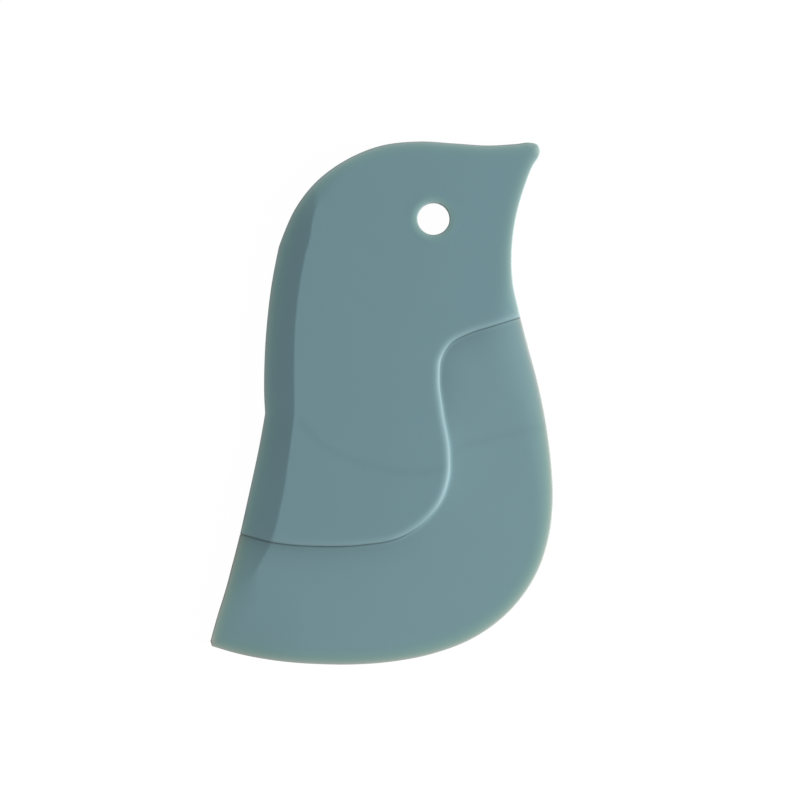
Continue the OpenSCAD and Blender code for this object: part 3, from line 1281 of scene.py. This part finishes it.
@dataclass(frozen=True, kw_only=True)
class GripBody(Moulding):
    """The raised moulding of head, back and wing, with the hang hole at the bird's eye.

    Attributes:
        node, slot, marks: As for any moulding.
        hole_r, mouth_r: Radius of the hang hole and of the rounding at its mouths.
        hole_room: Radius round the hole's middle that its rings take up.
        halo_w, halo_drop: Width and fall of the slope that leads to a mouth.
        halo_dim: Distance from a rim at which it glows no more than a mouth does.
        evening: How even the points of a ring are, from 0 to 1.
        halo_steps, mouth_steps, bore_steps: Steps over the slope, the mouth's rounding and the bore.
        least_slope: Least share of the edge's rounding at which the step's steep part ends.
    """

    node: str = "grip_body"
    slot: str = "grip_silicone"
    marks: tuple[tuple[float, float], ...] = (
        (0, 0), (0.2, 0.34), (0.28, 0.4), (0.42, 0.545), (0.48, 0.605), (0.55, 0.665), (0.665, 0.725),
        (0.76, 0.815), (0.85, 0.875), (0.95, 0.955), (1, 1),
    )
    hole_r: float = 4.0
    mouth_r: float = 0.3
    hole_room: float = 6.2
    halo_w: float = 1.3
    halo_drop: float = 0.11
    halo_dim: float = 0.45
    evening: float = 0.6
    halo_steps: int = 5
    mouth_steps: int = 7
    bore_steps: int = 5
    least_slope: float = 1.1

    def sides(self) -> tuple[Line, Line]:
        """The back up to the beak, and the seam followed by the throat."""
        cut = self.relief.stretches()
        return cut.back, cut.seam.then(cut.throat)

    def right_stops(self, rows: Rows) -> Array:
        """Distances from the right end to the end of the edge, the step's steep part and its crest.

        Args:
            rows: The rows.

        Returns:
            Three distances for each row.
        """
        width = self.relief.step_w
        steep = np.maximum(self.steep_share * width, rows.right_edge * self.least_slope)
        crest = np.full(self.rows, width + self.crest_w)
        return np.column_stack([rows.right_edge, steep, crest]) / rows.right_slant[:, None]

    def through(self, lattice: Array) -> tuple[Block | None, Array]:
        """The block of cells round the hang hole, and the rings down its mouths and its bore.

        A ring's points lie between the angles of the block's outline and even ones. Depth counts as
        distance from the rim.

        Args:
            lattice: The points of the upper face.

        Returns:
            The rows and columns of the block, and the rings with their heights and fields.
        """
        middle = self.relief.plan.hole
        near = np.linalg.norm(lattice[..., :2] - middle, axis=2) < self.hole_room
        rows, columns = np.flatnonzero(near.any(1)), np.flatnonzero(near.any(0))
        block = slice(rows[0] - 1, rows[-1] + 1), slice(columns[0] - 1, columns[-1] + 1)
        outline = block_outline(lattice, block)[:, :2] - middle
        angle = np.unwrap(np.arctan2(outline[:, 1], outline[:, 0]))
        even = np.arange(len(angle)) / len(angle) * math.copysign(2 * math.pi, angle[-1] - angle[0])
        angle = mixed(angle, even + (angle - even).mean(), self.evening)
        spokes = np.stack([np.cos(angle), np.sin(angle)], -1)
        radius, height = self.bore_profile()
        depth = np.maximum(height[self.halo_steps] - np.abs(height), 0)
        rim = np.repeat((radius - self.hole_r + depth + self.halo_dim)[:, None], len(angle), 1)
        rings = self.lifted(middle + radius[:, None, None] * spokes, rim)
        rings[..., HEIGHT] = height[:, None]
        return block, rings

    def bore_profile(self) -> tuple[Array, Array]:
        """The hang hole's profile, from the slope round its upper mouth to that round its lower one.

        The slope falls by the square of the way, a quarter circle leads from it into the bore, and the
        lower half mirrors the upper one.

        Returns:
            The radius and the height of each ring.
        """
        half, mouth = self.relief.half, self.mouth_r
        way = np.arange(self.halo_steps) / self.halo_steps
        turn = np.linspace(0, math.pi / 2, self.mouth_steps)
        slope_radius = self.hole_r + mouth + self.halo_w * (1 - way)
        slope_height = half - self.halo_drop * way**2
        radius = np.concatenate([slope_radius, self.hole_r + mouth * (1 - np.sin(turn))])
        height = np.concatenate([slope_height, half - self.halo_drop - mouth * (1 - np.cos(turn))])
        bore = np.linspace(1, -1, self.bore_steps + 1)[1:-1] * height[-1]
        radius = np.concatenate([radius, np.full(len(bore), self.hole_r), radius[::-1]])
        return radius, np.concatenate([height, bore, -height[::-1]])


@dataclass(frozen=True, kw_only=True)
class BellyBlade(Moulding):
    """The thin moulding from the throat round the belly to the tail, with the scraping lip.

    Attributes:
        node, slot, marks: As for any moulding.
        past_taper: How far the right side's columns reach, as a share of the taper's width.
        least_taper: Least width of the taper for its columns, as a share of the edge's rounding.
    """

    node: str = "belly_blade"
    slot: str = "blade_silicone"
    marks: tuple[tuple[float, float], ...] = (
        (0, 0), (0.1, 0.14), (0.2, 0.23), (0.38, 0.345), (0.48, 0.42), (0.58, 0.53), (0.65, 0.62),
        (0.8, 0.8), (1, 1),
    )
    past_taper: float = 1.05
    least_taper: float = 2.0

    def sides(self) -> tuple[Line, Line]:
        """The wing's edge followed by the seam, and the foot and the belly."""
        cut = self.relief.stretches()
        return cut.wing.then(cut.seam), cut.belly

    def right_stops(self, rows: Rows) -> Array:
        """Distances from the right end to the end of the edge, the taper's steep part and the taper.

        Args:
            rows: The rows.

        Returns:
            Three distances for each row.
        """
        share = self.relief.plan.belly.nearest(rows.end).carried[:, 0]
        width = np.maximum(self.relief.taper_width(share), self.least_taper * rows.right_edge)
        stops = [rows.right_edge, self.steep_share * width, self.past_taper * width]
        return np.column_stack(stops) / rows.right_slant[:, None]


@dataclass(frozen=True)
class CorePlate:
    """The stiff plate sealed inside both mouldings, which is the frame's own solid.

    Attributes:
        finish: The nylon.
        node, slot: Its CAD node and its material slot.
    """

    finish: Nylon
    node: str = "core_plate"
    slot: str = "nylon_core"

    def dress(self) -> bpy.types.Object:
        """Gives the frame's solid its finish.

        Returns:
            The solid.
        """
        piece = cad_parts[self.node]
        piece.data.materials.clear()
        piece.data.materials.append(self.finish.material(self.slot))
        return piece


# Studio


@dataclass(frozen=True)
class Studio:
    """The camera straight above, a soft key light from the right and a pale floor.

    Attributes:
        picture_w: Width of the picture at the scraper, in millimetres.
        centre: The place in the middle of the picture.
        lens, sensor: Focal length and sensor width of the camera.
        ambient: Share of the light that comes evenly from the sky. The key light gives the rest.
        key_tilt: Angle of the key light from straight above, in degrees.
        key_turn: Direction of the key light round the scraper, in degrees from the right to the top.
        key_distance, key_size: Distance and width of the key light, in metres.
        floor_w: Width of the floor, in metres.
        floor_colour: Its colour, as what lies on it is lit by it.
        floor_shade: Share of the light on the floor that the camera sees, which holds the shadow.
        floor_white: Level at which the unshaded floor looks white to the camera.
        far: Distance up to which the camera sees, in metres.
    """

    picture_w: float = 198.65
    centre: tuple[float, float] = (4.54, 0.78)
    lens: float = 300.0
    sensor: float = 36.0
    ambient: float = 0.4
    key_tilt: float = 68.0
    key_turn: float = -8.0
    key_distance: float = 1.0
    key_size: float = 0.5
    floor_w: float = 6.0
    floor_colour: Colour = (232, 232, 230)
    floor_shade: float = 0.04
    floor_white: float = 1.02
    far: float = 10.0

    def camera(self) -> None:
        """Adds the camera, at the distance from which its picture has its width."""
        data = bpy.data.cameras.new("camera")
        data.lens = self.lens
        data.sensor_width = self.sensor
        data.clip_end = self.far
        made = in_scene("camera", data)
        height = self.picture_w * METRE * self.lens / self.sensor
        made.location = (self.centre[0] * METRE, self.centre[1] * METRE, height + cad_box[1].z)
        bpy.context.scene.camera = made

    def key(self) -> None:
        """Adds the key light.

        A lamp of power P at distance d lights a surface at the angle a to P cos a / (pi d)^2, where 1 is
        the plain level. The power is what makes up the plain level on a level surface.
        """
        data = bpy.data.lights.new("key", "AREA")
        data.shape = "DISK"
        data.size = self.key_size
        tilt, turn = math.radians(self.key_tilt), math.radians(self.key_turn)
        data.energy = (1 - self.ambient) * (math.pi * self.key_distance) ** 2 / math.cos(tilt)
        away = Vector((math.sin(tilt) * math.cos(turn), math.sin(tilt) * math.sin(turn), math.cos(tilt)))
        made = in_scene("key", data)
        made.location = away * self.key_distance
        made.rotation_euler = away.to_track_quat("Z", "Y").to_euler()

    def seen(self, shader: Shader) -> Number:
        """Tells what the camera sees, also in a reflection or through glass, from what lights.

        Args:
            shader: The shader that gets the nodes.

        Returns:
            1 where it is seen, and 0 where it lights.
        """
        path = shader.node("ShaderNodeLightPath")
        kinds = ("Camera", "Glossy", "Transmission")
        camera, glossy, through = (Number(shader, path.outputs[f"Is {kind} Ray"]) for kind in kinds)
        return (camera + glossy + through).clamped()

    def sky(self) -> None:
        """Lights the scene evenly, and looks white."""
        world = bpy.data.worlds.new("sky")
        world.use_nodes = True
        bpy.context.scene.world = world
        shader = Shader(world.node_tree)
        strength = self.ambient + self.seen(shader) * (1 - self.ambient)
        sky = shader.node("ShaderNodeBackground", inputs={"Color": WHITE, "Strength": strength})
        shader.node("ShaderNodeOutputWorld", inputs={"Surface": sky})

    def floor(self) -> None:
        """Adds the floor, which looks white and keeps a soft shadow."""
        half = self.floor_w / 2
        mesh = bpy.data.meshes.new("floor")
        corners = [(-half, -half, 0), (half, -half, 0), (half, half, 0), (-half, half, 0)]
        mesh.from_pydata(corners, [], [(0, 1, 2, 3)])
        material, shader = empty_material("floor")
        lit = shader.node("ShaderNodeBsdfDiffuse", inputs={"Color": linear(self.floor_colour)})
        shade = self.floor_shade
        shaded = shader.node("ShaderNodeBsdfDiffuse", inputs={"Color": (shade, shade, shade, 1)})
        glow = shader.node("ShaderNodeEmission", inputs={"Strength": self.floor_white - shade})
        white = shader.node("ShaderNodeAddShader", inputs={0: shaded, 1: glow})
        surface = shader.node("ShaderNodeMixShader", inputs={0: self.seen(shader), 1: lit, 2: white})
        shader.node("ShaderNodeOutputMaterial", inputs={"Surface": surface})
        mesh.materials.append(material)
        in_scene("floor", mesh)


def report(piece: bpy.types.Object) -> None:
    """Logs a piece with its points, its faces and its size.

    Args:
        piece: The piece.
    """
    size = " x ".join(f"{side / METRE:.2f}" for side in piece.dimensions)
    mesh = piece.data
    log.info("%s: %d points, %d faces, %s mm", piece.name, len(mesh.vertices), len(mesh.polygons), size)


def main() -> None:
    """Sets the studio up, then builds, dresses and reports the scraper's three pieces."""
    logging.basicConfig(level=logging.INFO, format="%(name)s: %(message)s")
    scene = bpy.context.scene
    scene.view_settings.view_transform = "Standard"
    studio = Studio()
    studio.camera()
    studio.key()
    studio.sky()
    studio.floor()

    low, high = (np.array(corner) / METRE for corner in cad_box)
    plan = Drawing().plan(low[:2], high[:2])
    relief = Relief(plan, half=(high[2] - low[2]) / 2)
    middle = (high[2] + low[2]) / 2
    plate_finish = Nylon(body=(190, 192, 186))
    # The rim colours are a painted glow, the grip's crest share a painted highlight, and the blade's
    # foot_shade takes the painted shade beside the seam.
    grip_finish = Silicone(
        body=(110, 141, 148), margin=(107, 144, 144), rim=(176, 192, 188), crest_glow_share=0.4
    )
    blade_finish = Silicone(
        body=(113, 144, 150), margin=(110, 146, 139), rim=(180, 180, 174), foot_shade=1.0
    )
    report(CorePlate(finish=plate_finish).dress())
    report(GripBody(relief=relief, middle=middle, finish=grip_finish).build())
    report(BellyBlade(relief=relief, middle=middle, finish=blade_finish).build())


if __name__ == "__main__":
    main()
